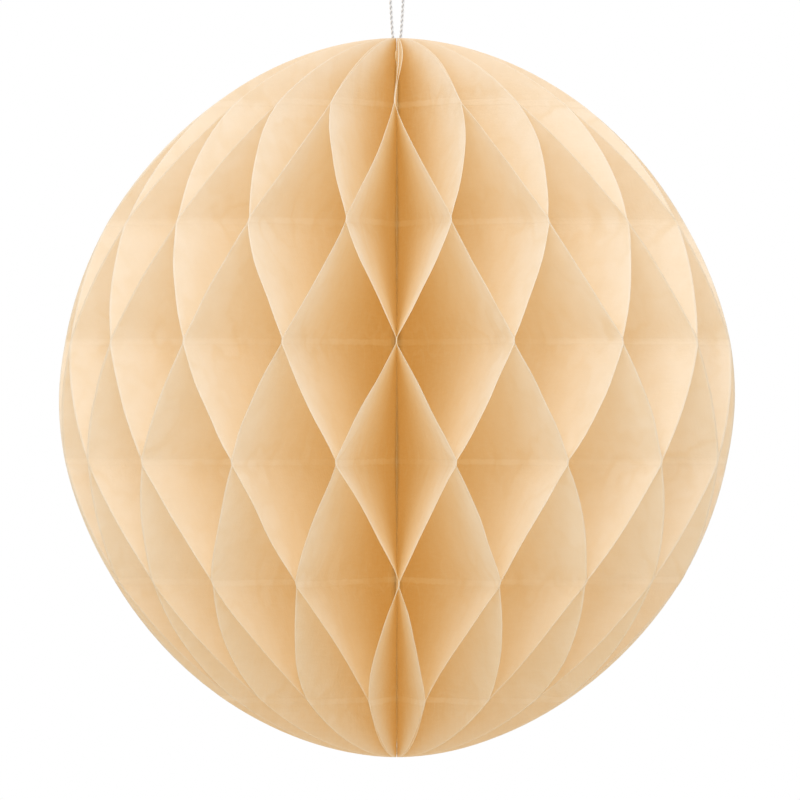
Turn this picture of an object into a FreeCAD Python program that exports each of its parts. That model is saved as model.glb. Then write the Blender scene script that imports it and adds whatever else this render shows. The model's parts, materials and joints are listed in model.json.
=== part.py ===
"""Paper honeycomb ball: a fan of glued tissue half-discs round a bound spine, closed by two card covers
and hung from a twisted cord loop.

Frame: +Z up, millimetres. The origin is the point inside the top of the loop where a hook bears, so the
ball hangs below it. The closed seam faces +Y (the back) and the fan folds flat towards -Y (the front).

Every leaf (a sheet or a cover) stands in a vertical plane through the spine. Its angle is counted from -Y
and grows towards +X. Neighbouring leaves meet at an interface, where they are glued along level lines that
run from the spine to the rim. Interfaces with an even number are glued at one set of heights and odd ones at
another, so each sheet zigzags between its two neighbours and the cells open as diamonds.
"""

import FreeCAD, Part
import math
import os

V = FreeCAD.Vector

# ---- driving dimensions -------------------------------------------------------------------------------
BALL_HEIGHT = 300.0  # pole to pole
BALL_WIDTH = 282.0  # across the equator
OUTLINE_POWER = 1.88  # a superellipse a little more pointed at the poles than an ellipse
SHEETS = 36
SHEET_THICKNESS = 0.12
GLUE_GAP = 0.05  # between two glued sheets
GLUE_WIDTH = 2.6  # height of a glue line
CELL_PITCH = 98.8  # between glue lines of one interface
TOP_GLUE = 121.8  # above the ball's centre, on the even interfaces; odd ones start half a pitch lower
LINES_PER_INTERFACE = 3
UNEVEN = 4.8  # degrees by which the fan is drawn round to one side
RIM_STEPS = 28  # points of the curve drawn along a leaf's rim

CARD_THICKNESS = 0.5
SEAM_GAP = 0.3  # between the covers, filled by the adhesive pads
COVER_INSET = 1.0  # the card's rim lies this far inside the tissue's
COVER_SPINE_GAP = 5.0  # the card's straight edge stands off the spine
PAD_SIZE = (12.0, 22.0)  # across and along the seam
PAD_HEIGHTS = {"top": 88.0, "middle": 0.0, "bottom": -88.0}
PAD_FROM_RIM = 14.0
PAD_FILL = 0.9  # share of the seam's gap
PAD_CORNER = 3.0

SPINE_RADIUS = 1.3
SPINE_THREAD_RADIUS = 0.45
SHEET_SPINE_GAP = 0.3  # between the binding and the sheets' straight edges
END_SHEET_START = 9.0  # the outermost sheets start where the card leaves them room
TOP_WELL = (3.3, 10.2)  # radius and depth of the room for the loop's knot
BOTTOM_WELL = (1.9, 6.0)
BINDING_INSET = 0.5  # the binding ends this far short of the wells
BORE_CLEARANCE = 0.02  # between the thread and the binding

CORD_DIAMETER = 1.3
LOOP_SHOULDER = 208.0  # height above the ball's centre at which the strands turn over the hook
LOOP_HALF_WIDTH = 4.4
LOOP_TURN = 60.0  # degrees at each of the three corners over the hook
CORNER_SHARE = 0.45  # of the shorter run beside a corner goes to its arc
LOOP_AT_POLE = 2.1  # half the strands' spacing where they enter the paper
KNOT_RADIUS = 2.3
KNOT_MIDDLE = 142.6
STRAND_FOOT = (0.8, 1.2)  # where each strand starts in the knot: aside of its middle and above it
STRAND_OVER_POLE = 0.4
BOTTOM_KNOT_RADIUS = 1.5
BOTTOM_KNOT_HEIGHT = 3.4
BOTTOM_KNOT_MIDDLE = -147.4
THREAD_END = -146.4  # inside the bottom knot

FLAT_STACK = 1.8  # half the folded stack's thickness at the spine
COVER_CLEARANCE = 0.2  # between a folded cover and the stack
FOLDED_SHARE = 0.99  # how much of each leaf's angle is gone when folded

HALF_HEIGHT = BALL_HEIGHT / 2
HALF_WIDTH = BALL_WIDTH / 2
SHEET_START = SPINE_RADIUS + SHEET_SPINE_GAP
LOOP_TOP = LOOP_SHOULDER + LOOP_HALF_WIDTH * math.tan(math.radians(LOOP_TURN / 2))
HOOK_BEARS = LOOP_TOP - (LOOP_TOP - LOOP_SHOULDER) / 4 - CORD_DIAMETER / 2
CENTRE = V(0, 0, -HOOK_BEARS)
COVER_BACK = SEAM_GAP / 2 + CARD_THICKNESS  # from the seam's plane to the card's inner face
MARGIN = 5.0  # how far a rough slab runs past the rim it is cut to
INNER_MARGIN = 0.2  # the same at the inner edge


# ---- the fan -------------------------------------------------------------------------------------------
def interface_angle(j):
    """Angle of interface j, in degrees; j runs from -18 at one cover to +18 at the other."""
    even = 360.0 * j / SHEETS
    return even + UNEVEN * (1 - math.cos(math.radians(even)))


def sheet_numbers():
    """(number in the node's name, interface below, interface above) of every sheet."""
    return [(n + 1, n - SHEETS // 2, n + 1 - SHEETS // 2) for n in range(SHEETS)]


def middle_angle(below, above):
    return (interface_angle(below) + interface_angle(above)) / 2


def fold_centre(angle, offset):
    """Where a leaf turns, so that its plane ends up offset from the spine when it is folded."""
    half = math.radians(angle / 2)
    reach = offset / (2 * math.sin(half))
    return reach * math.sin(half), -reach * math.cos(half)


def leaves():
    """Every moving leaf: {body name: (angle when open, hinge x, hinge y)}. The hinges are parallel to Z."""
    found = {}
    for number, below, above in sheet_numbers():
        angle = middle_angle(below, above)
        found[f"sheet_{number:02d}"] = (angle, *fold_centre(angle, FLAT_STACK * angle / 180))
    for side, j in (("left", -SHEETS // 2), ("right", SHEETS // 2)):
        angle = interface_angle(j)
        offset = math.copysign(FLAT_STACK + COVER_BACK + COVER_CLEARANCE, angle)
        found[f"{side}_cover"] = (angle, *fold_centre(angle, offset))
    return found


def stand(shape, angle):
    """Turn a shape drawn in the XZ plane (X outwards, Y towards growing angles) into the fan, and hang it."""
    shape = shape.copy()
    shape.rotate(V(0, 0, 0), V(0, 0, 1), angle - 90)
    shape.translate(CENTRE)
    return shape


# ---- outlines ------------------------------------------------------------------------------------------
def rim_radius(z):
    return HALF_WIDTH * (1 - abs(z / HALF_HEIGHT) ** OUTLINE_POWER) ** (1 / OUTLINE_POWER)


def rim_height(radius):
    return HALF_HEIGHT * (1 - (radius / HALF_WIDTH) ** OUTLINE_POWER) ** (1 / OUTLINE_POWER)


def rim_curve(top_radius, bottom_radius, inset):
    """The rim from the top to the bottom of a leaf, as one smooth curve."""
    start = math.asin(top_radius / HALF_WIDTH)
    end = math.pi - math.asin(bottom_radius / HALF_WIDTH)
    shrink = 1 - inset / HALF_WIDTH
    points = []
    for i in range(RIM_STEPS + 1):
        turn = start + (end - start) * i / RIM_STEPS
        across = HALF_WIDTH * math.sin(turn)
        z = math.copysign(rim_height(across), math.cos(turn))
        points.append(V(across * shrink, 0, z * shrink))
    curve = Part.BSplineCurve()
    curve.interpolate(points)
    return curve.toShape(), points[0], points[-1]


def leaf_outline(inner, top_well, bottom_well, inset=0.0):
    """A closed face in the XZ plane: straight at the spine with a step at each pole, round at the rim."""
    rim, top, bottom = rim_curve(max(top_well[0], inner), max(bottom_well[0], inner), inset)
    corners = [bottom]
    if bottom_well[0] > inner:
        step = -HALF_HEIGHT + bottom_well[1]
        corners += [V(bottom.x, 0, step), V(inner, 0, step)]
    if top_well[0] > inner:
        step = HALF_HEIGHT - top_well[1]
        corners += [V(inner, 0, step), V(top.x, 0, step)]
    corners.append(top)
    edges = [Part.LineSegment(a, b).toShape() for a, b in zip(corners, corners[1:])]
    return Part.Face(Part.Wire([rim] + edges))


# ---- tissue sheets -------------------------------------------------------------------------------------
def glue_lines(interface):
    top = TOP_GLUE - (interface % 2) * CELL_PITCH / 2
    return [top - CELL_PITCH * i for i in range(LINES_PER_INTERFACE)]


def zigzag(below, above):
    """[(height, side)] from bottom to top: +1 where the sheet lies on the interface above, -1 below."""
    lines = [(z, -1) for z in glue_lines(below)] + [(z, 1) for z in glue_lines(above)]
    lines.sort()
    knots = []
    for z, side in lines:
        knots += [(z - GLUE_WIDTH / 2, side), (z + GLUE_WIDTH / 2, side)]
    past = HALF_HEIGHT + MARGIN
    return [(-past, lines[0][1])] + knots[1:-1] + [(past, lines[-1][1])]


def surface_y(x, side, slope, room):
    """Distance of the sheet's middle surface from its middle plane; room keeps it off the interface."""
    return side * (x * slope - room[side])


def wavy_slab(knots, slope, room, x0, x1):
    """A closed slab of the sheet's thickness between x0 and x1, made of ruled strips."""
    half = SHEET_THICKNESS / 2

    def corner(x, knot, push):
        z, side = knot
        return V(x, surface_y(x, side, slope, room) + push, z)

    faces = []
    for push in (-half, half):
        for a, b in zip(knots, knots[1:]):
            inner = Part.LineSegment(corner(x0, a, push), corner(x0, b, push)).toShape()
            outer = Part.LineSegment(corner(x1, a, push), corner(x1, b, push)).toShape()
            faces.append(Part.makeRuledSurface(inner, outer))
    for x in (x0, x1):
        ring = [corner(x, k, -half) for k in knots] + [corner(x, k, half) for k in reversed(knots)]
        faces.append(Part.Face(Part.makePolygon(ring + ring[:1])))
    for knot in (knots[0], knots[-1]):
        places = [(x0, -half), (x1, -half), (x1, half), (x0, half), (x0, -half)]
        faces.append(Part.Face(Part.makePolygon([corner(x, knot, push) for x, push in places])))
    shell = Part.Shell(faces)
    shell.sewShape()
    solid = Part.Solid(shell)
    if solid.Volume < 0:
        solid.reverse()
    return solid


def tissue_sheet(below, above):
    slope = math.tan(math.radians((interface_angle(above) - interface_angle(below)) / 2))
    glued = (SHEET_THICKNESS + GLUE_GAP) / 2
    against_card = COVER_BACK + SHEET_THICKNESS / 2 + GLUE_GAP
    room = {
        -1: against_card if below == -SHEETS // 2 else glued,
        1: against_card if above == SHEETS // 2 else glued,
    }
    inner = END_SHEET_START if against_card in room.values() else SHEET_START
    slab = wavy_slab(zigzag(below, above), slope, room, inner - INNER_MARGIN, HALF_WIDTH + MARGIN)
    face = leaf_outline(inner, TOP_WELL, BOTTOM_WELL)
    reach = 2 * HALF_WIDTH * slope
    face.translate(V(0, -reach, 0))
    sheet = slab.common(face.extrude(V(0, 2 * reach, 0)))
    return stand(sheet.Solids[0], middle_angle(below, above))


# ---- card covers and their pads ------------------------------------------------------------------------
def card_cover(side):
    """A flat half-disc on its own side of the seam's plane."""
    j = SHEETS // 2 * side
    face = leaf_outline(COVER_SPINE_GAP, TOP_WELL, BOTTOM_WELL, COVER_INSET)
    face.translate(V(0, -side * SEAM_GAP / 2, 0))
    return stand(face.extrude(V(0, -side * CARD_THICKNESS, 0)), interface_angle(j))


def adhesive_pad(height):
    """A double-sided pad on the left cover, as thick as the seam's gap, with rounded corners."""
    across, along = PAD_SIZE
    x = rim_radius(height) - PAD_FROM_RIM - across
    thickness = PAD_FILL * SEAM_GAP
    pad = Part.makeBox(across, thickness, along, V(x, SEAM_GAP / 2 - thickness, height - along / 2))
    corners = [e for e in pad.Edges if math.isclose(abs(e.tangentAt(e.FirstParameter).y), 1.0)]
    return stand(pad.makeFillet(PAD_CORNER, corners), interface_angle(-SHEETS // 2))


# ---- spine, knots and loop -----------------------------------------------------------------------------
def spine_pieces():
    """The glued binding that holds the sheets' straight edges, and the thread down its middle."""
    low = -HALF_HEIGHT + BOTTOM_WELL[1] + BINDING_INSET
    high = HALF_HEIGHT - TOP_WELL[1] - BINDING_INSET
    tube = Part.makeCylinder(SPINE_RADIUS, high - low, V(0, 0, low))
    bore = Part.makeCylinder(SPINE_THREAD_RADIUS + BORE_CLEARANCE, high - low, V(0, 0, low))
    thread_length = KNOT_MIDDLE - KNOT_RADIUS - THREAD_END
    thread = Part.makeCylinder(SPINE_THREAD_RADIUS, thread_length, V(0, 0, THREAD_END))
    return {"spine_binding": tube.cut(bore), "spine_thread": thread}


def knot(middle, radius, height):
    """A round knot: a ball drawn out to the given height."""
    ball = Part.makeSphere(radius)
    matrix = FreeCAD.Matrix()
    matrix.scale(1, 1, height / (2 * radius))
    ball = ball.transformGeometry(matrix)
    ball.translate(V(0, 0, middle))
    return ball


def rounded_route(points):
    """Straight runs joined by tangent arcs, each as large as its two runs allow."""
    edges = []
    start = points[0]
    for before, here, after in zip(points, points[1:], points[2:]):
        back = (before - here).normalize()
        ahead = (after - here).normalize()
        half_turn = (math.pi - back.getAngle(ahead)) / 2
        cut = CORNER_SHARE * min((before - here).Length, (after - here).Length)
        radius = cut / math.tan(half_turn)
        bisector = (back + ahead).normalize()
        middle = here + bisector * (radius / math.cos(half_turn) - radius)
        print(f"cord arc radius {radius:.2f} mm, turn {math.degrees(2 * half_turn):.1f} degrees")
        edges.append(Part.LineSegment(start, here + back * cut).toShape())
        edges.append(Part.Arc(here + back * cut, middle, here + ahead * cut).toShape())
        start = here + ahead * cut
    edges.append(Part.LineSegment(start, points[-1]).toShape())
    return Part.Wire(edges)


def hanging_loop():
    """Both strands leave the knot, part round the sheets' edges and meet over the hook."""
    foot = (STRAND_FOOT[0], KNOT_MIDDLE + STRAND_FOOT[1])
    pole = (LOOP_AT_POLE, HALF_HEIGHT + STRAND_OVER_POLE)
    shoulder = (LOOP_HALF_WIDTH, LOOP_SHOULDER)
    left = [V(-x, 0, z) for x, z in (foot, pole, shoulder)]
    right = [V(x, 0, z) for x, z in (shoulder, pole, foot)]
    path = rounded_route(left + [V(0, 0, LOOP_TOP)] + right)
    start = path.Edges[0]
    section = Part.Circle(left[0], start.tangentAt(start.FirstParameter), CORD_DIAMETER / 2).toShape()
    tube = Part.Wire([section])
    cord = path.makePipeShell([tube], True, False)
    ideal = path.Length * math.pi * CORD_DIAMETER**2 / 4
    print(f"loop length {path.Length:.1f} mm, volume {cord.Volume:.2f} of {ideal:.2f} mm3")
    return cord


def middle_pieces():
    """Everything on the ball's axis, hung below the hook: {node name: solid}."""
    pieces = spine_pieces()
    pieces["loop_knot"] = knot(KNOT_MIDDLE, KNOT_RADIUS, 2 * KNOT_RADIUS)
    pieces["hanging_loop"] = hanging_loop().cut(pieces["loop_knot"])
    bottom_knot = knot(BOTTOM_KNOT_MIDDLE, BOTTOM_KNOT_RADIUS, BOTTOM_KNOT_HEIGHT)
    pieces["bottom_knot"] = bottom_knot.cut(pieces["spine_thread"])
    return {name: shape.translated(CENTRE) for name, shape in pieces.items()}


def main():
    os.makedirs("parts", exist_ok=True)
    pieces = {f"tissue_sheet_{n:02d}": tissue_sheet(below, above) for n, below, above in sheet_numbers()}
    pieces["left_cover"] = card_cover(-1)
    pieces["right_cover"] = card_cover(1)
    for name, height in PAD_HEIGHTS.items():
        pieces[f"adhesive_pad_{name}"] = adhesive_pad(height)
    pieces.update(middle_pieces())
    for name, shape in pieces.items():
        if not shape.isValid() or not shape.isClosed() or shape.Volume <= 0:
            print(f"{name} is not a sound solid: valid {shape.isValid()}, volume {shape.Volume:.3f}")
        shape.exportStep(f"parts/{name}.step")
    print(f"{len(pieces)} nodes")


main()
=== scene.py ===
"""Looks of the paper honeycomb ball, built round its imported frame.

Metres, with +Z up and the origin where the hook bears. Every tissue sheet stands in a vertical plane through
the spine and zigzags between its two neighbours. A sheet's flat coordinates, outwards from the spine and up
from the ball's centre, are kept as its UV map, so its fibres, its glue lines and its cut rim stay where they
are on the paper at every pose.
"""

import json
import math

import bpy
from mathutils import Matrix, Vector, noise


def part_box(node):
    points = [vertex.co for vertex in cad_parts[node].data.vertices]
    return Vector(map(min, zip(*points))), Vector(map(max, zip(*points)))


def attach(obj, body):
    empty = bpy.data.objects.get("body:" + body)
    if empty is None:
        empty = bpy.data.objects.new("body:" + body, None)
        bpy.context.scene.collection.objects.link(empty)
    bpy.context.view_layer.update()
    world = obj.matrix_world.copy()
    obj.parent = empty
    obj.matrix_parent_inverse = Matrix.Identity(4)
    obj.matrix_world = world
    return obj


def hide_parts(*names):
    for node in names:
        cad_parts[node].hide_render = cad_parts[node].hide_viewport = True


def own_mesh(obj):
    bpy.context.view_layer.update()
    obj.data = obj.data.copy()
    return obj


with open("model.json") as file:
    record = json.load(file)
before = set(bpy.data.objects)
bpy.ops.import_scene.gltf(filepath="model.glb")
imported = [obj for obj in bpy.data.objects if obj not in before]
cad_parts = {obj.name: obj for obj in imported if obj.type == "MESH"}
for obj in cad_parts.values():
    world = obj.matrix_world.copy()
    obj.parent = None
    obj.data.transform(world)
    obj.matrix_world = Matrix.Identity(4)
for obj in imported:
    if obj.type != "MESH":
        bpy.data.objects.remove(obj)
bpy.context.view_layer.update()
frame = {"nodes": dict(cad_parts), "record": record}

# ---- sizes the visible sheets share with the frame, in metres -------------------------------------------
MM = 0.001
SHEETS = sum(name.startswith("tissue_sheet") for name in frame["nodes"])
HALF_WIDTH = 141 * MM
HALF_HEIGHT = 150 * MM
OUTLINE_POWER = 1.88
UNEVEN = 4.8  # degrees by which the fan is drawn round to one side
CELL_PITCH = 98.8 * MM
TOP_GLUE = 121.8 * MM
GLUE_WIDTH = 2.4 * MM
LINES_PER_INTERFACE = 3
SHEET_START = 1.31 * MM
END_SHEET_START = 9.0 * MM
TOP_WELL = (3.3 * MM, 9.8 * MM)  # radius and depth of the room for the loop's knot
BOTTOM_WELL = (1.9 * MM, 6.0 * MM)
KNOT_TOP = 145.2 * MM
STRANDS_FRONT = 0.9 * MM  # how near the middle a sheet comes above the knot, before or behind the strands
CENTRE_Z = (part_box("tissue_sheet_10")[0].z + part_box("tissue_sheet_10")[1].z) / 2

# ---- sizes of what is only seen -------------------------------------------------------------------------
PAPER_THICKNESS = 0.13 * MM
LEAF_GAP = 0.17 * MM  # between the middles of two glued sheets
CARD_GAP = 0.77 * MM  # between the middle of an end sheet and the seam
STRAY = 0.7  # degrees by which an interface strays from its place at the centre's height
STRAY_AT_POLE = 2.5  # degrees more at the poles
STRAY_RISE = 4  # power of the height with which the stray grows
STRAY_HOLD = 6  # power with which the covers' straightness fades towards the front
STRAY_SEED = 71.97
STRAY_STEPS = (1.37, 1.6)  # noise travelled from interface to interface, and from the centre to a pole
NOISE_GAIN = 2  # the noise keeps mostly within a half of one
FRONT_LEAN = 4.0  # degrees by which the front interface leans over at the top
LEAN_STARTS = 0.8  # share of the half height
LEAN_RISES = 0.2
LEAN_SPREAD = 3  # interfaces to each side that lean too
PARTING = 0.1  # share of the swing by which unglued rims part at the poles
PARTING_STEP = 2.3
PARTING_SEED = 1.7
FRONT_PARTING = 0.2
CRUMPLE = 1.3 * MM
CRUMPLE_SCALE = 22  # per metre of paper
CRUMPLE_STEP = 3.7  # noise travelled from sheet to sheet
FINE_CRUMPLE = (2.9, 0.5)  # times as fine, and times as deep
CRUMPLE_HOLD = 3  # power with which the glue lines' flatness fades between them
RADIAL_STEPS = 24
RADIAL_CROWDING = 1.5  # power that draws the columns together towards the rim
ROWS_BETWEEN_LINES = 9
ROWS_PAST_LINES = 15
SHADE_STEP = 0.37  # noise that the paper's shading travels from sheet to sheet


def ball_point(x, y, z):
    """A point given in millimetres from the ball's centre."""
    return Vector((x * MM, y * MM, z * MM + CENTRE_Z))


# ---- camera ---------------------------------------------------------------------------------------------
CAMERA_DISTANCE = 4.0
VIEW_WIDTH = 333.8 * MM
VIEW_OFFSET = (1.3 * MM, -1.0 * MM)  # the ball sits a little left of the middle and a little above it
SENSOR_WIDTH = 36.0
FARTHEST_SEEN = 100.0


def add_camera():
    data = bpy.data.cameras.new("camera")
    data.sensor_width = SENSOR_WIDTH
    data.lens = data.sensor_width * CAMERA_DISTANCE / VIEW_WIDTH
    data.clip_end = FARTHEST_SEEN
    camera = bpy.data.objects.new("camera", data)
    camera.location = (VIEW_OFFSET[0], -CAMERA_DISTANCE, CENTRE_Z + VIEW_OFFSET[1])
    camera.rotation_euler = (math.radians(90), 0, 0)
    bpy.context.scene.collection.objects.link(camera)
    bpy.context.scene.camera = camera


# ---- node helpers ---------------------------------------------------------------------------------------
class Nodes:
    """A material's node tree, with short ways to add nodes and link them."""

    def __init__(self, name):
        self.material = bpy.data.materials.new(name)
        self.material.use_nodes = True
        self.tree = self.material.node_tree
        self.tree.nodes.clear()
        self.output = self.tree.nodes.new("ShaderNodeOutputMaterial")

    def add(self, kind, inputs=None, **settings):
        node = self.tree.nodes.new(kind)
        for key, value in settings.items():
            setattr(node, key, value)
        for key, value in (inputs or {}).items():
            self.set(node, key, value)
        return node

    def set(self, node, key, value):
        if isinstance(value, bpy.types.NodeSocket):
            self.tree.links.new(value, node.inputs[key])
        else:
            node.inputs[key].default_value = value

    def math(self, operation, a, b=0.0):
        return self.add("ShaderNodeMath", {0: a, 1: b}, operation=operation).outputs[0]

    def ramp(self, value, low, high, to_low=0.0, to_high=1.0):
        inputs = {"Value": value, "From Min": low, "From Max": high, "To Min": to_low, "To Max": to_high}
        return self.add("ShaderNodeMapRange", inputs, interpolation_type="SMOOTHSTEP").outputs["Result"]

    def mix(self, share, a, b):
        node = self.add("ShaderNodeMix", data_type="RGBA")
        for key, value in ((0, share), (6, a), (7, b)):
            self.set(node, key, value)
        return node.outputs[2]

    def noise(self, vector, scale, detail=3.0, stretch=None, roughness=0.5):
        if stretch:
            scales, turns = stretch
            mapping = self.add("ShaderNodeMapping", {"Vector": vector, "Scale": scales, "Rotation": turns})
            vector = mapping.outputs[0]
        inputs = {"Vector": vector, "Scale": scale, "Detail": detail, "Roughness": roughness}
        return self.add("ShaderNodeTexNoise", inputs).outputs["Fac"]

    def finish(self, shader):
        self.tree.links.new(shader, self.output.inputs["Surface"])
        return self.material


def colour(r, g, b):
    return (r, g, b, 1.0)


# ---- materials ------------------------------------------------------------------------------------------
PAPER = colour(0.920, 0.785, 0.600)
# pale paper: the fibres' tone, and the painted light near the rim, at the top and along crease lines
PAPER_PALE = colour(0.942, 0.835, 0.690)
# deep tan: the clouds' tone, and the painted shade deep in the cells and along fold lines
PAPER_DEEP = colour(0.845, 0.640, 0.360)
# painted shade, darker and warmer low on the ball
PAINTED_LOW_SHADE = colour(0.895, 0.745, 0.540)
# pale cream: the painted highlight along the cut rim and its border, and the glue showing through
RIM_HIGHLIGHT_AND_GLUE = colour(0.970, 0.870, 0.730)
CARD = colour(0.90, 0.70, 0.46)
CARD_CLOUD = colour(0.86, 0.64, 0.40)
CARD_FIBRE = colour(0.95, 0.82, 0.64)
PAD = colour(0.82, 0.81, 0.76)
PAD_CELL = colour(0.93, 0.92, 0.88)
GLUE = colour(0.97, 0.82, 0.58)
GLUE_LUMP = colour(0.98, 0.90, 0.74)
CORD = colour(0.72, 0.73, 0.75)
CORD_FIBRE = colour(0.90, 0.90, 0.91)
# painted shade where the two plies of the cord meet
CORD_GROOVE_SHADE = colour(0.52, 0.53, 0.56)
FLOOR = colour(0.80, 0.75, 0.65)

# where the tones lie on a sheet, most of them painted light and shade: in metres, or in shares of the way
# from the rim to the spine
PAINTED_RIM_HIGHLIGHT = (0.15 * MM, 0.6 * MM)
PAINTED_EDGE_LIGHT = (2 * MM, 18 * MM)
PAINTED_OUTER_LIGHT_DEPTH = (0.05, 0.30)
PAINTED_CELL_SHADE_DEPTH = (0.20, 0.92)
PAINTED_LOW_SHADE_PART = (-140 * MM, -30 * MM)
PAINTED_TOP_LIGHT_PART = (30 * MM, 140 * MM)
GLUE_EDGE = (0.8 * MM, 1.5 * MM)
GLUE_WANDER = 1.1 * MM
CREASED_PART = 16 * MM  # to each side of a glue line
# painted light and shade of crinkles: pale crease lines and dark fold lines
CREASE_LEVEL = 0.5  # creases and folds lie where their noise passes these levels
CREASE_WIDTH = 0.03
FOLD_LEVEL = 0.52
FOLD_WIDTH = 0.05
SMOOTH_SHARE = 0.35  # of the creasing is left far from the glue lines
LEAST_LEVEL = 0.001  # keeps the division at the poles finite

# how strong each tone is; most of them are painted light and shade
PAINTED_OUTER_LIGHT_TONE = 0.85
PAINTED_EDGE_LIGHT_TONE = 0.45
PAINTED_LOW_SHADE_TONE = 0.9
PAINTED_TOP_LIGHT_TONE = 0.5
CLOUD_TONE = 0.14
FIBRE_TONE = 0.22
GLUE_TONE = (0.12, 0.45)  # the glue shows through in patches
PAINTED_RIM_HIGHLIGHT_TONE = 0.30
PAINTED_CREASE_LIGHT_TONE = 0.20
PAINTED_FOLD_SHADE_TONE = 0.22

# noise scales, per metre of paper
CLOUDS = 120.0
FIBRES = 900.0
FIBRE_STRETCH = 0.16
FIBRE_TURNS = (0.5, -0.4)  # radians by which the two sets of fibres lean
CRINKLES = 45.0
CREASES = 38.0
FOLDS = 30.0
GLUE_EDGES = 160.0
GLUE_PATCHES = 14.0

# relief of the paper: its depth, and how much of it each pattern gives
RELIEF = 0.6 * MM
FIBRE_RELIEF = 0.35
CRINKLE_RELIEF = 3.0
GLUE_RELIEF = -0.25
PAPER_ROUGHNESS = (0.78, 0.95)
PAPER_GLOSS = 0.18
LIGHT_THROUGH = 0.10  # share of the light that passes through the tissue


def sheet_places(n):
    """Where a point lies on its flat sheet: outwards, upwards, and both with the sheet's own seed."""
    flat = n.add("ShaderNodeUVMap", uv_map="flat").outputs[0]
    parts = n.add("ShaderNodeSeparateXYZ", {0: flat})
    seed = n.add("ShaderNodeAttribute", attribute_name="sheet_seed").outputs["Fac"]
    out, up = parts.outputs[0], parts.outputs[1]
    seeded = n.add("ShaderNodeCombineXYZ", {0: out, 1: up, 2: seed}).outputs[0]
    return out, up, seeded


def rim_and_depth(n, out, up):
    """Distance in from the cut rim, and share of the way from the rim to the spine at one height."""
    across = n.math("POWER", n.math("DIVIDE", out, HALF_WIDTH), OUTLINE_POWER)
    along = n.math("POWER", n.math("DIVIDE", n.math("ABSOLUTE", up), HALF_HEIGHT), OUTLINE_POWER)
    share = n.math("POWER", n.math("ADD", across, along), 1 / OUTLINE_POWER)
    inwards = n.math("MULTIPLY", n.math("SUBTRACT", 1.0, share), (HALF_WIDTH + HALF_HEIGHT) / 2)
    level = n.math("MAXIMUM", n.math("SUBTRACT", 1.0, along), LEAST_LEVEL)
    reach = n.math("POWER", n.math("DIVIDE", across, level), 1 / OUTLINE_POWER)
    return inwards, n.math("SUBTRACT", 1.0, reach)


def glue_distance(n, up, seeded):
    """Height above or below the nearest glue line, whose edges wander a little."""
    lines = n.math("DIVIDE", n.math("SUBTRACT", up, TOP_GLUE), CELL_PITCH / 2)
    off_line = n.math("ABSOLUTE", n.math("SUBTRACT", lines, n.math("ROUND", lines)))
    off_line = n.math("MULTIPLY", off_line, CELL_PITCH / 2)
    edges = n.math("SUBTRACT", n.noise(seeded, GLUE_EDGES, 2.0), 0.5)
    return n.math("ADD", off_line, n.math("MULTIPLY", edges, GLUE_WANDER))


def tissue_fibres(n, seeded):
    """The mean of two sets of short fibres that lie across each other."""
    first = n.noise(seeded, FIBRES, 3.0, ((1.0, FIBRE_STRETCH, 1.0), (0, 0, FIBRE_TURNS[0])))
    second = n.noise(seeded, FIBRES, 3.0, ((FIBRE_STRETCH, 1.0, 1.0), (0, 0, FIBRE_TURNS[1])))
    return n.math("MULTIPLY", n.math("ADD", first, second), 0.5)


def painted_light_and_shade(n, up, inwards, depth):
    """Painted light and shade: paler near the rim and at the top, darker low down and deep in the cells."""
    # painted light: paler over the outer part of each cell, brighter still within a few millimetres of the
    # rim
    base = n.mix(n.ramp(depth, *PAINTED_OUTER_LIGHT_DEPTH, PAINTED_OUTER_LIGHT_TONE, 0.0), PAPER, PAPER_PALE)
    base = n.mix(n.ramp(inwards, *PAINTED_EDGE_LIGHT, PAINTED_EDGE_LIGHT_TONE, 0.0), base, RIM_HIGHLIGHT_AND_GLUE)
    # painted shade low on the ball, and painted light towards the top
    base = n.mix(n.ramp(up, *PAINTED_LOW_SHADE_PART, PAINTED_LOW_SHADE_TONE, 0.0), base, PAINTED_LOW_SHADE)
    base = n.mix(n.ramp(up, *PAINTED_TOP_LIGHT_PART, 0.0, PAINTED_TOP_LIGHT_TONE), base, PAPER_PALE)
    # painted shade, darkening deep in the cells towards the spine
    return n.mix(n.ramp(depth, *PAINTED_CELL_SHADE_DEPTH, 0.0, 1.0), base, PAPER_DEEP)


def with_painted_creases(n, base, seeded, near_line):
    """The base colour with pale crease lines and dark fold lines painted on as the light and shade of
    crinkles, mostly near the glue.
    """
    ridge = n.math("ABSOLUTE", n.math("SUBTRACT", n.noise(seeded, CREASES, 2.0), CREASE_LEVEL))
    painted_crease_shading = n.math("MULTIPLY", n.ramp(ridge, 0.0, CREASE_WIDTH, PAINTED_CREASE_LIGHT_TONE, 0.0), near_line)
    base = n.mix(painted_crease_shading, base, PAPER_PALE)
    valley = n.math("ABSOLUTE", n.math("SUBTRACT", n.noise(seeded, FOLDS, 3.0), FOLD_LEVEL))
    painted_fold_shade = n.math("MULTIPLY", n.ramp(valley, 0.0, FOLD_WIDTH, PAINTED_FOLD_SHADE_TONE, 0.0), near_line)
    return n.mix(painted_fold_shade, base, PAPER_DEEP)


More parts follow.
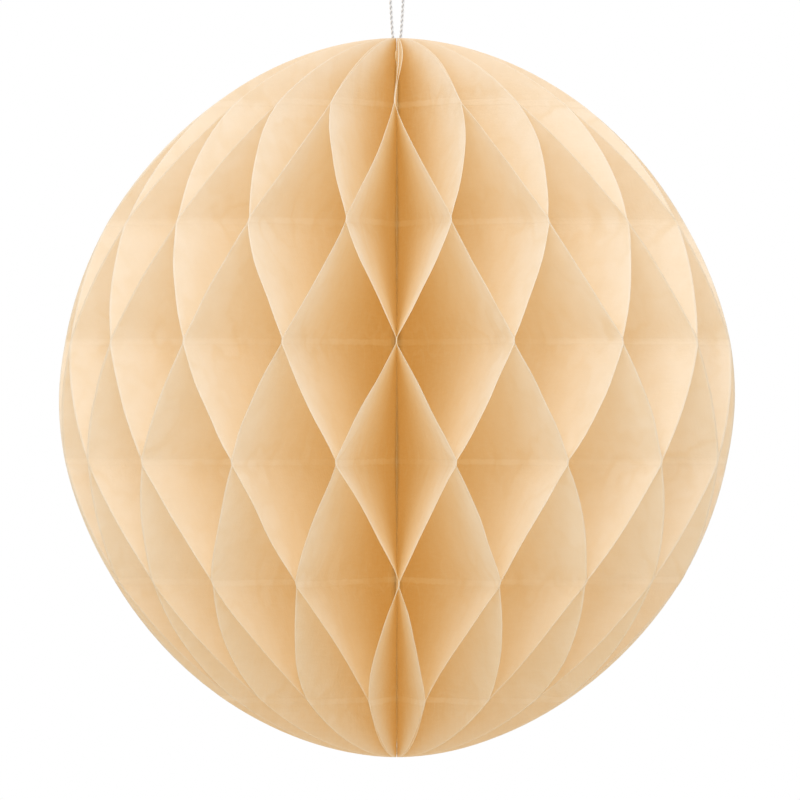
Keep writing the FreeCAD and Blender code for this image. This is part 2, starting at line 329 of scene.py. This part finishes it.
def tissue_material():
    n = Nodes("tissue_paper")
    out, up, seeded = sheet_places(n)
    inwards, depth = rim_and_depth(n, out, up)
    off_line = glue_distance(n, up, seeded)
    glue = n.ramp(off_line, *GLUE_EDGE, 1.0, 0.0)
    near_line = n.ramp(off_line, 0.0, CREASED_PART, 1.0, SMOOTH_SHARE)
    fibres = tissue_fibres(n, seeded)

    base = painted_light_and_shade(n, up, inwards, depth)
    base = n.mix(n.ramp(n.noise(seeded, CLOUDS, 4.0), 0.3, 0.7, 0.0, CLOUD_TONE), base, PAPER_DEEP)
    base = n.mix(n.ramp(fibres, 0.38, 0.66, 0.0, FIBRE_TONE), base, PAPER_PALE)
    patches = n.ramp(n.noise(seeded, GLUE_PATCHES, 2.0), 0.35, 0.65, *GLUE_TONE)
    base = n.mix(n.math("MULTIPLY", glue, patches), base, RIM_HIGHLIGHT_AND_GLUE)
    # painted highlight along the cut rim
    base = n.mix(n.ramp(inwards, *PAINTED_RIM_HIGHLIGHT, PAINTED_RIM_HIGHLIGHT_TONE, 0.0), base, RIM_HIGHLIGHT_AND_GLUE)
    # painted light and shade of the crinkles
    base = with_painted_creases(n, base, seeded, near_line)

    crinkle = n.math("MULTIPLY", n.noise(seeded, CRINKLES, 6.0, roughness=0.65), near_line)
    crinkle = n.math("MULTIPLY", crinkle, CRINKLE_RELIEF)
    height = n.math("ADD", n.math("MULTIPLY", fibres, FIBRE_RELIEF), crinkle)
    height = n.math("ADD", height, n.math("MULTIPLY", glue, GLUE_RELIEF))
    bump = n.add("ShaderNodeBump", {"Strength": 0.5, "Distance": RELIEF, "Height": height}).outputs[0]

    paper = n.add("ShaderNodeBsdfPrincipled", {"Base Color": base, "Normal": bump})
    n.set(paper, "Roughness", n.ramp(fibres, 0.2, 0.8, *PAPER_ROUGHNESS))
    n.set(paper, "Specular IOR Level", PAPER_GLOSS)
    through = n.add("ShaderNodeBsdfTranslucent", {"Color": base, "Normal": bump})
    both = n.add("ShaderNodeMixShader", {0: LIGHT_THROUGH, 1: paper.outputs[0], 2: through.outputs[0]})
    return n.finish(both.outputs[0])


def card_material():
    n = Nodes("cover_card")
    place = n.add("ShaderNodeTexCoord").outputs["Object"]
    clouds = n.noise(place, 60.0, 4.0)
    fibres = n.noise(place, 1400.0, 3.0, ((1.0, 1.0, 0.2), (0, 0.2, 0)))
    base = n.mix(n.ramp(clouds, 0.3, 0.7, 0.0, 0.3), CARD, CARD_CLOUD)
    base = n.mix(n.ramp(fibres, 0.4, 0.7, 0.0, 0.25), base, CARD_FIBRE)
    bump = n.add("ShaderNodeBump", {"Strength": 0.25, "Distance": 0.1 * MM, "Height": fibres}).outputs[0]
    card = n.add("ShaderNodeBsdfPrincipled", {"Base Color": base, "Normal": bump})
    n.set(card, "Roughness", n.ramp(clouds, 0.2, 0.8, 0.62, 0.78))
    n.set(card, "Specular IOR Level", 0.3)
    return n.finish(card.outputs[0])


def pad_material():
    n = Nodes("adhesive_pad")
    place = n.add("ShaderNodeTexCoord").outputs["Object"]
    cells = n.add("ShaderNodeTexVoronoi", {"Vector": place, "Scale": 1800.0}).outputs["Distance"]
    base = n.mix(n.ramp(cells, 0.1, 0.6, 0.0, 1.0), PAD, PAD_CELL)
    bump = n.add("ShaderNodeBump", {"Strength": 0.4, "Distance": 0.05 * MM, "Height": cells}).outputs[0]
    pad = n.add("ShaderNodeBsdfPrincipled", {"Base Color": base, "Normal": bump})
    n.set(pad, "Roughness", n.ramp(cells, 0.0, 0.7, 0.35, 0.6))
    return n.finish(pad.outputs[0])


def glue_material():
    n = Nodes("dried_glue")
    place = n.add("ShaderNodeTexCoord").outputs["Object"]
    lumps = n.noise(place, 450.0, 4.0, ((1.0, 1.0, 0.35), (0, 0, 0)))
    base = n.mix(n.ramp(lumps, 0.35, 0.7, 0.0, 1.0), GLUE, GLUE_LUMP)
    bump = n.add("ShaderNodeBump", {"Strength": 0.3, "Distance": 0.1 * MM, "Height": lumps}).outputs[0]
    glue = n.add("ShaderNodeBsdfPrincipled", {"Base Color": base, "Normal": bump})
    n.set(glue, "Roughness", n.ramp(lumps, 0.2, 0.8, 0.35, 0.6))
    n.set(glue, "Specular IOR Level", 0.2)
    return n.finish(glue.outputs[0])


def cord_material():
    n = Nodes("white_cord")
    place = n.add("ShaderNodeUVMap", uv_map="cord").outputs[0]
    painted_crease_shading = n.add("ShaderNodeAttribute", attribute_name="painted_crease_shading").outputs["Fac"]
    fibres = n.noise(place, 6.0, 4.0, ((1.0, 9.0, 1.0), (0, 0, 0.35)))
    base = n.mix(n.ramp(fibres, 0.3, 0.7, 0.0, 1.0), CORD, CORD_FIBRE)
    # painted shade where the plies meet
    base = n.mix(n.ramp(painted_crease_shading, 0.2, 0.9, 0.0, 1.0), base, CORD_GROOVE_SHADE)
    bump = n.add("ShaderNodeBump", {"Strength": 0.7, "Distance": 0.06 * MM, "Height": fibres}).outputs[0]
    cord = n.add("ShaderNodeBsdfPrincipled", {"Base Color": base, "Normal": bump})
    n.set(cord, "Roughness", n.ramp(fibres, 0.2, 0.8, 0.65, 0.85))
    n.set(cord, "Sheen Weight", 0.3)
    return n.finish(cord.outputs[0])


# ---- twisted cord ---------------------------------------------------------------------------------------
# aside and up from the ball's centre, in millimetres
LOOP_ROUTE = [
    (-0.8, 143.8),
    (-2.1, 150.4),
    (-4.4, 208.0),
    (0.0, 210.54),
    (4.4, 208.0),
    (2.1, 150.4),
    (0.8, 143.8),
]
LOOP_STRAIGHT = (3.98, 200.2)  # on each straight run, six diameters below the shoulders
PLY_RADIUS = 0.34 * MM
PLY_OFFSET = 0.31 * MM
TWIST_PITCH = 4.2 * MM
PLY_SIDES = 12
PLY_THREADS = 3
GROOVE_DEPTH = 0.05  # of the ply's radius
RING_STEP = 0.35 * MM
CURVE_STEPS = 24
TEXTURE_LENGTH = 2 * MM  # of cord to one unit of its UV map


def spline_points(route, resolution):
    """Points along the NURBS spline whose control points are the route."""
    curve = bpy.data.curves.new("route", "CURVE")
    curve.dimensions = "3D"
    spline = curve.splines.new("NURBS")
    spline.points.add(len(route) - 1)
    for point, place in zip(spline.points, route):
        point.co = (*place, 1.0)
    spline.order_u = 3
    spline.use_endpoint_u = True
    spline.resolution_u = resolution
    holder = bpy.data.objects.new("route", curve)
    bpy.context.scene.collection.objects.link(holder)
    bpy.context.view_layer.update()
    mesh = bpy.data.meshes.new_from_object(holder)
    points = [v.co.copy() for v in mesh.vertices]
    bpy.data.meshes.remove(mesh)
    bpy.data.objects.remove(holder)
    bpy.data.curves.remove(curve)
    return points


def evenly_spaced(points, step):
    """The same line, with points the given step apart."""
    lengths = [0.0]
    for a, b in zip(points, points[1:]):
        lengths.append(lengths[-1] + (b - a).length)
    count = round(lengths[-1] / step)
    found = []
    i = 0
    for k in range(count + 1):
        target = lengths[-1] * k / count
        while i < len(points) - 2 and lengths[i + 1] < target:
            i += 1
        t = (target - lengths[i]) / max(lengths[i + 1] - lengths[i], 1e-12)
        found.append(points[i].lerp(points[i + 1], t))
    return found


def twist_rings(path):
    """[(centre, side, out, walked)] along a path that lies near the XZ plane."""
    rings = []
    walked = 0.0
    for i, centre in enumerate(path):
        ahead = (path[min(i + 1, len(path) - 1)] - path[max(i - 1, 0)]).normalized()
        side = Vector((0, 1, 0)).cross(ahead).normalized()
        if i:
            walked += (centre - path[i - 1]).length
        rings.append((centre, side, ahead.cross(side), walked))
    return rings


def twisted_mesh(name, path):
    """Two plies twisted round the path, each with grooves between its threads."""
    vertices, faces, places, painted_groove_shade = [], [], [], []
    rings = twist_rings(path)
    for ply in (0, 1):
        first = len(vertices)
        for centre, side, out, walked in rings:
            a = 2 * math.pi * walked / TWIST_PITCH + math.pi * ply
            middle = centre + (side * math.cos(a) + out * math.sin(a)) * PLY_OFFSET
            for k in range(PLY_SIDES):
                b = 2 * math.pi * k / PLY_SIDES
                groove = 1 + GROOVE_DEPTH * math.cos(PLY_THREADS * b + 2 * a)
                vertices.append(middle + (side * math.cos(b) + out * math.sin(b)) * PLY_RADIUS * groove)
                places.append((b / (2 * math.pi), walked / TEXTURE_LENGTH))
                # painted shade: 0 on the outer side of a ply, 1 where it turns in to meet the other ply
                painted_groove_shade.append((1 - math.cos(b - a)) / 2)
        for i in range(len(rings) - 1):
            for k in range(PLY_SIDES):
                here = first + i * PLY_SIDES
                right = (k + 1) % PLY_SIDES
                faces.append((here + k, here + right, here + right + PLY_SIDES, here + k + PLY_SIDES))
        faces.append(tuple(first + k for k in reversed(range(PLY_SIDES))))
        faces.append(tuple(len(vertices) - PLY_SIDES + k for k in range(PLY_SIDES)))
    piece = mesh_object(name, vertices, faces, places, "cord")
    add_values(piece, "painted_crease_shading", painted_groove_shade)
    return piece


def add_values(piece, name, values):
    """Keeps one number for each vertex, for the piece's material to read."""
    piece.data.attributes.new(name, "FLOAT", "POINT").data.foreach_set("value", values)


def mesh_object(name, vertices, faces, places, uv_name):
    mesh = bpy.data.meshes.new(name)
    mesh.from_pydata([tuple(v) for v in vertices], [], faces)
    layer = mesh.uv_layers.new(name=uv_name)
    for loop in mesh.loops:
        layer.data[loop.index].uv = places[loop.vertex_index]
    mesh.polygons.foreach_set("use_smooth", [True] * len(mesh.polygons))
    mesh.update()
    piece = bpy.data.objects.new(name, mesh)
    bpy.context.scene.collection.objects.link(piece)
    return piece


def add_hanging_loop(material):
    left = LOOP_ROUTE[:2] + [(-LOOP_STRAIGHT[0], LOOP_STRAIGHT[1])]
    right = [LOOP_STRAIGHT] + LOOP_ROUTE[5:]
    route = [ball_point(x, 0, z) for x, z in left + LOOP_ROUTE[2:5] + right]
    path = evenly_spaced(spline_points(route, CURVE_STEPS), RING_STEP)
    piece = twisted_mesh("hanging_loop_cord", path)
    piece.data.materials.append(material)
    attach(piece, "spine")
    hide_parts("hanging_loop")


# ---- tissue sheets --------------------------------------------------------------------------------------
def interface_angle(j):
    even = 360.0 * j / SHEETS
    return even + UNEVEN * (1 - math.cos(math.radians(even)))


def wander(j, z):
    """Degrees by which an interface strays from its place: more towards the poles, not at the covers."""
    height = z / HALF_HEIGHT
    reach = STRAY + STRAY_AT_POLE * height**STRAY_RISE
    held = 1 - abs(2 * j / SHEETS) ** STRAY_HOLD
    stray = noise.noise(Vector((j * STRAY_STEPS[0], height * STRAY_STEPS[1], STRAY_SEED))) * NOISE_GAIN
    lean = FRONT_LEAN * ease((height - LEAN_STARTS) / LEAN_RISES) * math.exp(-((j / LEAN_SPREAD) ** 2))
    return (max(-1.0, min(1.0, stray)) * reach + lean) * held


def glue_lines(interface):
    top = TOP_GLUE - (interface % 2) * CELL_PITCH / 2
    return [top - CELL_PITCH * i for i in range(LINES_PER_INTERFACE)]


def zigzag(below, above):
    """[(height, side)] from bottom to top: +1 where the sheet lies on the interface above, -1 below."""
    lines = sorted([(z, -1) for z in glue_lines(below)] + [(z, 1) for z in glue_lines(above)])
    knots = []
    for z, side in lines:
        knots += [(z - GLUE_WIDTH / 2, side), (z + GLUE_WIDTH / 2, side)]
    return knots


def parting(j, end):
    """How far the rims that meet at interface j stay apart past their last glue line, at one pole."""
    if j == 0 and end > 0:
        return FRONT_PARTING
    return PARTING * (1 + noise.noise(Vector((j * PARTING_STEP, end, PARTING_SEED))))


def swing(z, below, above):
    """Where the sheet stands at this height: +1 on the interface above, -1 on the one below."""
    knots = zigzag(below, above)
    for (last, side), end in ((knots[0], -1), (knots[-1], 1)):
        if (z - last) * end >= 0:
            apart = parting(above if side > 0 else below, end)
            return side * (1 - apart * ease((z - last) / (end * HALF_HEIGHT - last)))
    for (z0, s0), (z1, s1) in zip(knots, knots[1:]):
        if z <= z1:
            return s0 + (s1 - s0) * (z - z0) / (z1 - z0)


def ease(t):
    t = min(max(t, 0.0), 1.0)
    return t * t * (3 - 2 * t)


def rim_radius(z):
    return HALF_WIDTH * max(0.0, 1 - (abs(z) / HALF_HEIGHT) ** OUTLINE_POWER) ** (1 / OUTLINE_POWER)


def inner_radius(z, angle, at_end):
    start = END_SHEET_START if at_end else SHEET_START
    if z > KNOT_TOP:
        sideways = abs(math.sin(math.radians(angle)))
        return max(start, STRANDS_FRONT + (TOP_WELL[0] - STRANDS_FRONT) * sideways)
    if z > HALF_HEIGHT - TOP_WELL[1]:
        return max(start, TOP_WELL[0])
    if z < -HALF_HEIGHT + BOTTOM_WELL[1]:
        return max(start, BOTTOM_WELL[0])
    return start


def rim_turn(z):
    return math.asin((abs(z) / HALF_HEIGHT) ** (OUTLINE_POWER / 2))


def pole_heights(last, inner):
    """Heights of rows from the last glue line to the pole, closer together as the rim curves over."""
    start = rim_turn(last)
    end = math.acos((inner / HALF_WIDTH) ** (OUTLINE_POWER / 2))
    turns = [start + (end - start) * i / ROWS_PAST_LINES for i in range(1, ROWS_PAST_LINES + 1)]
    return [HALF_HEIGHT * math.sin(t) ** (2 / OUTLINE_POWER) for t in turns]


def sheet_heights(knots, angle, at_end):
    """Heights of the mesh's rows from bottom to top, with one at each edge of every glue line."""
    low, high = knots[0][0], knots[-1][0]
    heights = [-z for z in reversed(pole_heights(low, inner_radius(-HALF_HEIGHT, angle, at_end)))]
    heights.append(low)
    for (z0, s0), (z1, s1) in zip(knots, knots[1:]):
        rows = 1 if s0 == s1 else ROWS_BETWEEN_LINES
        heights += [z0 + (z1 - z0) * i / rows for i in range(1, rows + 1)]
    return heights + pole_heights(high, inner_radius(HALF_HEIGHT, angle, at_end))


class Leaf:
    """Where a tissue sheet stands: its number, its two interfaces, its middle plane and its room there."""

    def __init__(self, number):
        self.number = number
        self.below = number - 1 - SHEETS // 2
        self.above = self.below + 1
        low, high = interface_angle(self.below), interface_angle(self.above)
        self.angle = (low + high) / 2
        self.half = (high - low) / 2
        first, last = self.below == -SHEETS // 2, self.above == SHEETS // 2
        self.gaps = {-1: CARD_GAP if first else LEAF_GAP / 2, 1: CARD_GAP if last else LEAF_GAP / 2}
        self.at_end = first or last
        turn = math.radians(self.angle)
        self.out = Vector((math.sin(turn), -math.cos(turn), 0))
        self.side = Vector((math.cos(turn), math.sin(turn), 0))

    def heights(self):
        return sheet_heights(zigzag(self.below, self.above), self.angle, self.at_end)

    def slope(self, z, s):
        """How steeply the sheet leaves its middle plane at a height where its swing is s."""
        stray = wander(self.below, z) * (1 - s) / 2 + wander(self.above, z) * (1 + s) / 2
        return math.tan(math.radians(s * self.half + stray))

    def crumple(self, x, z):
        place = Vector((x * CRUMPLE_SCALE, z * CRUMPLE_SCALE, self.number * CRUMPLE_STEP))
        finer, shallower = FINE_CRUMPLE
        return noise.noise(place) + noise.noise(place * finer) * shallower

    def row(self, z, face):
        """[(outwards, sideways)] along one face of the sheet at one height, from the spine to the rim."""
        low = inner_radius(z, self.angle, self.at_end)
        high = max(rim_radius(z), low)
        s = swing(z, self.below, self.above)
        slope = self.slope(z, s)
        shift = face * PAPER_THICKNESS / 2 - s * self.gaps[1 if s > 0 else -1]
        free = 1 - abs(s) ** CRUMPLE_HOLD
        points = []
        for i in range(RADIAL_STEPS + 1):
            x = low + (high - low) * (1 - (1 - i / RADIAL_STEPS) ** RADIAL_CROWDING)
            y = x * slope + shift + self.crumple(x, z) * free * CRUMPLE * x / HALF_WIDTH
            points.append((x, y))
        return points


def sheet_faces(rows, columns):
    """Faces of a sheet whose vertices run from spine to rim, then upwards, then from face to face."""

    def at(face, row, column):
        return (face * rows + row) * columns + column

    faces = []
    for j in range(rows - 1):
        for i in range(columns - 1):
            corners = [(j, i), (j, i + 1), (j + 1, i + 1), (j + 1, i)]
            faces.append(tuple(at(0, *corner) for corner in reversed(corners)))
            faces.append(tuple(at(1, *corner) for corner in corners))
        for i in (0, columns - 1):
            edge = (at(0, j, i), at(1, j, i), at(1, j + 1, i), at(0, j + 1, i))
            faces.append(edge if i == 0 else edge[::-1])
    for j in (0, rows - 1):
        for i in range(columns - 1):
            edge = (at(0, j, i), at(0, j, i + 1), at(1, j, i + 1), at(1, j, i))
            faces.append(edge if j == 0 else edge[::-1])
    return faces


def flatten_inner_edge(mesh, columns):
    """Shades the thin edge at the spine flat, so that the paper beside it keeps its own normals."""
    for face in mesh.polygons:
        if all(vertex % columns == 0 for vertex in face.vertices):
            face.use_smooth = False


def tissue_sheet(number, material):
    leaf = Leaf(number)
    heights = leaf.heights()
    columns = RADIAL_STEPS + 1
    vertices, places = [], []
    for face in (-1, 1):
        for z in heights:
            for x, y in leaf.row(z, face):
                vertices.append(leaf.out * x + leaf.side * y + Vector((0, 0, CENTRE_Z + z)))
                places.append((x, z))
    faces = sheet_faces(len(heights), columns)
    piece = mesh_object(f"tissue_{number:02d}", vertices, faces, places, "flat")
    flatten_inner_edge(piece.data, columns)
    add_values(piece, "sheet_seed", [number * SHADE_STEP] * len(vertices))
    piece.data.materials.append(material)
    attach(piece, f"sheet_{number:02d}")
    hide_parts(f"tissue_sheet_{number:02d}")
    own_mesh(piece)


# ---- stage ----------------------------------------------------------------------------------------------
FLOOR_REACH = 20.0
FLOOR_DROP = 1.4  # below the ball
KEY_PLACE = (-0.3, -2.0, CENTRE_Z + 1.5)
KEY_SIZE = 1.6
KEY_POWER = 11
ROOM_LIGHT = 1.0
FILL_AFTER = 3  # bounces inside a cell before the light left is taken to be the room's
FILL_DISTANCE = 0.01 * MM


def add_floor():
    low = CENTRE_Z - HALF_HEIGHT - FLOOR_DROP
    mesh = bpy.data.meshes.new("floor")
    corners = [(x * FLOOR_REACH, y * FLOOR_REACH, low) for x, y in ((-1, -1), (1, -1), (1, 1), (-1, 1))]
    mesh.from_pydata(corners, [], [(0, 1, 2, 3)])
    floor = bpy.data.objects.new("floor", mesh)
    bpy.context.scene.collection.objects.link(floor)
    n = Nodes("floor")
    paint = n.add("ShaderNodeBsdfPrincipled", {"Base Color": FLOOR, "Roughness": 0.8})
    mesh.materials.append(n.finish(paint.outputs[0]))


def add_key_light():
    data = bpy.data.lights.new("key", "AREA")
    data.shape = "DISK"
    data.size = KEY_SIZE
    data.energy = KEY_POWER
    lamp = bpy.data.objects.new("key", data)
    lamp.location = KEY_PLACE
    lamp.rotation_euler = (Vector((0, 0, CENTRE_Z)) - lamp.location).to_track_quat("-Z", "Y").to_euler()
    bpy.context.scene.collection.objects.link(lamp)


def add_world():
    world = bpy.data.worlds.new("studio")
    world.use_nodes = True
    background = world.node_tree.nodes["Background"]
    background.inputs["Color"].default_value = (1, 1, 1, 1)
    background.inputs["Strength"].default_value = ROOM_LIGHT
    bpy.context.scene.world = world


def set_look():
    scene = bpy.context.scene
    scene.view_settings.view_transform = "Standard"
    scene.view_settings.look = "None"
    scene.cycles.use_fast_gi = True
    scene.cycles.fast_gi_method = "REPLACE"
    scene.cycles.ao_bounces_render = FILL_AFTER
    scene.world.light_settings.distance = FILL_DISTANCE


def dress_cad_nodes(cord):
    """Gives each node that the CAD made the finish of its slot."""
    finishes = {
        "cover_card": card_material(),
        "adhesive_pad": pad_material(),
        "dried_glue": glue_material(),
        "white_cord": cord,
    }
    for part in frame["record"]["subparts"]:
        if part["material_slot"] in finishes:
            node = frame["nodes"][part["node"]]
            node.data.materials.clear()
            node.data.materials.append(finishes[part["material_slot"]])


add_camera()
cord = cord_material()
add_hanging_loop(cord)
tissue = tissue_material()
for number in range(1, SHEETS + 1):
    tissue_sheet(number, tissue)
dress_cad_nodes(cord)
add_floor()
add_key_light()
add_world()
set_look()
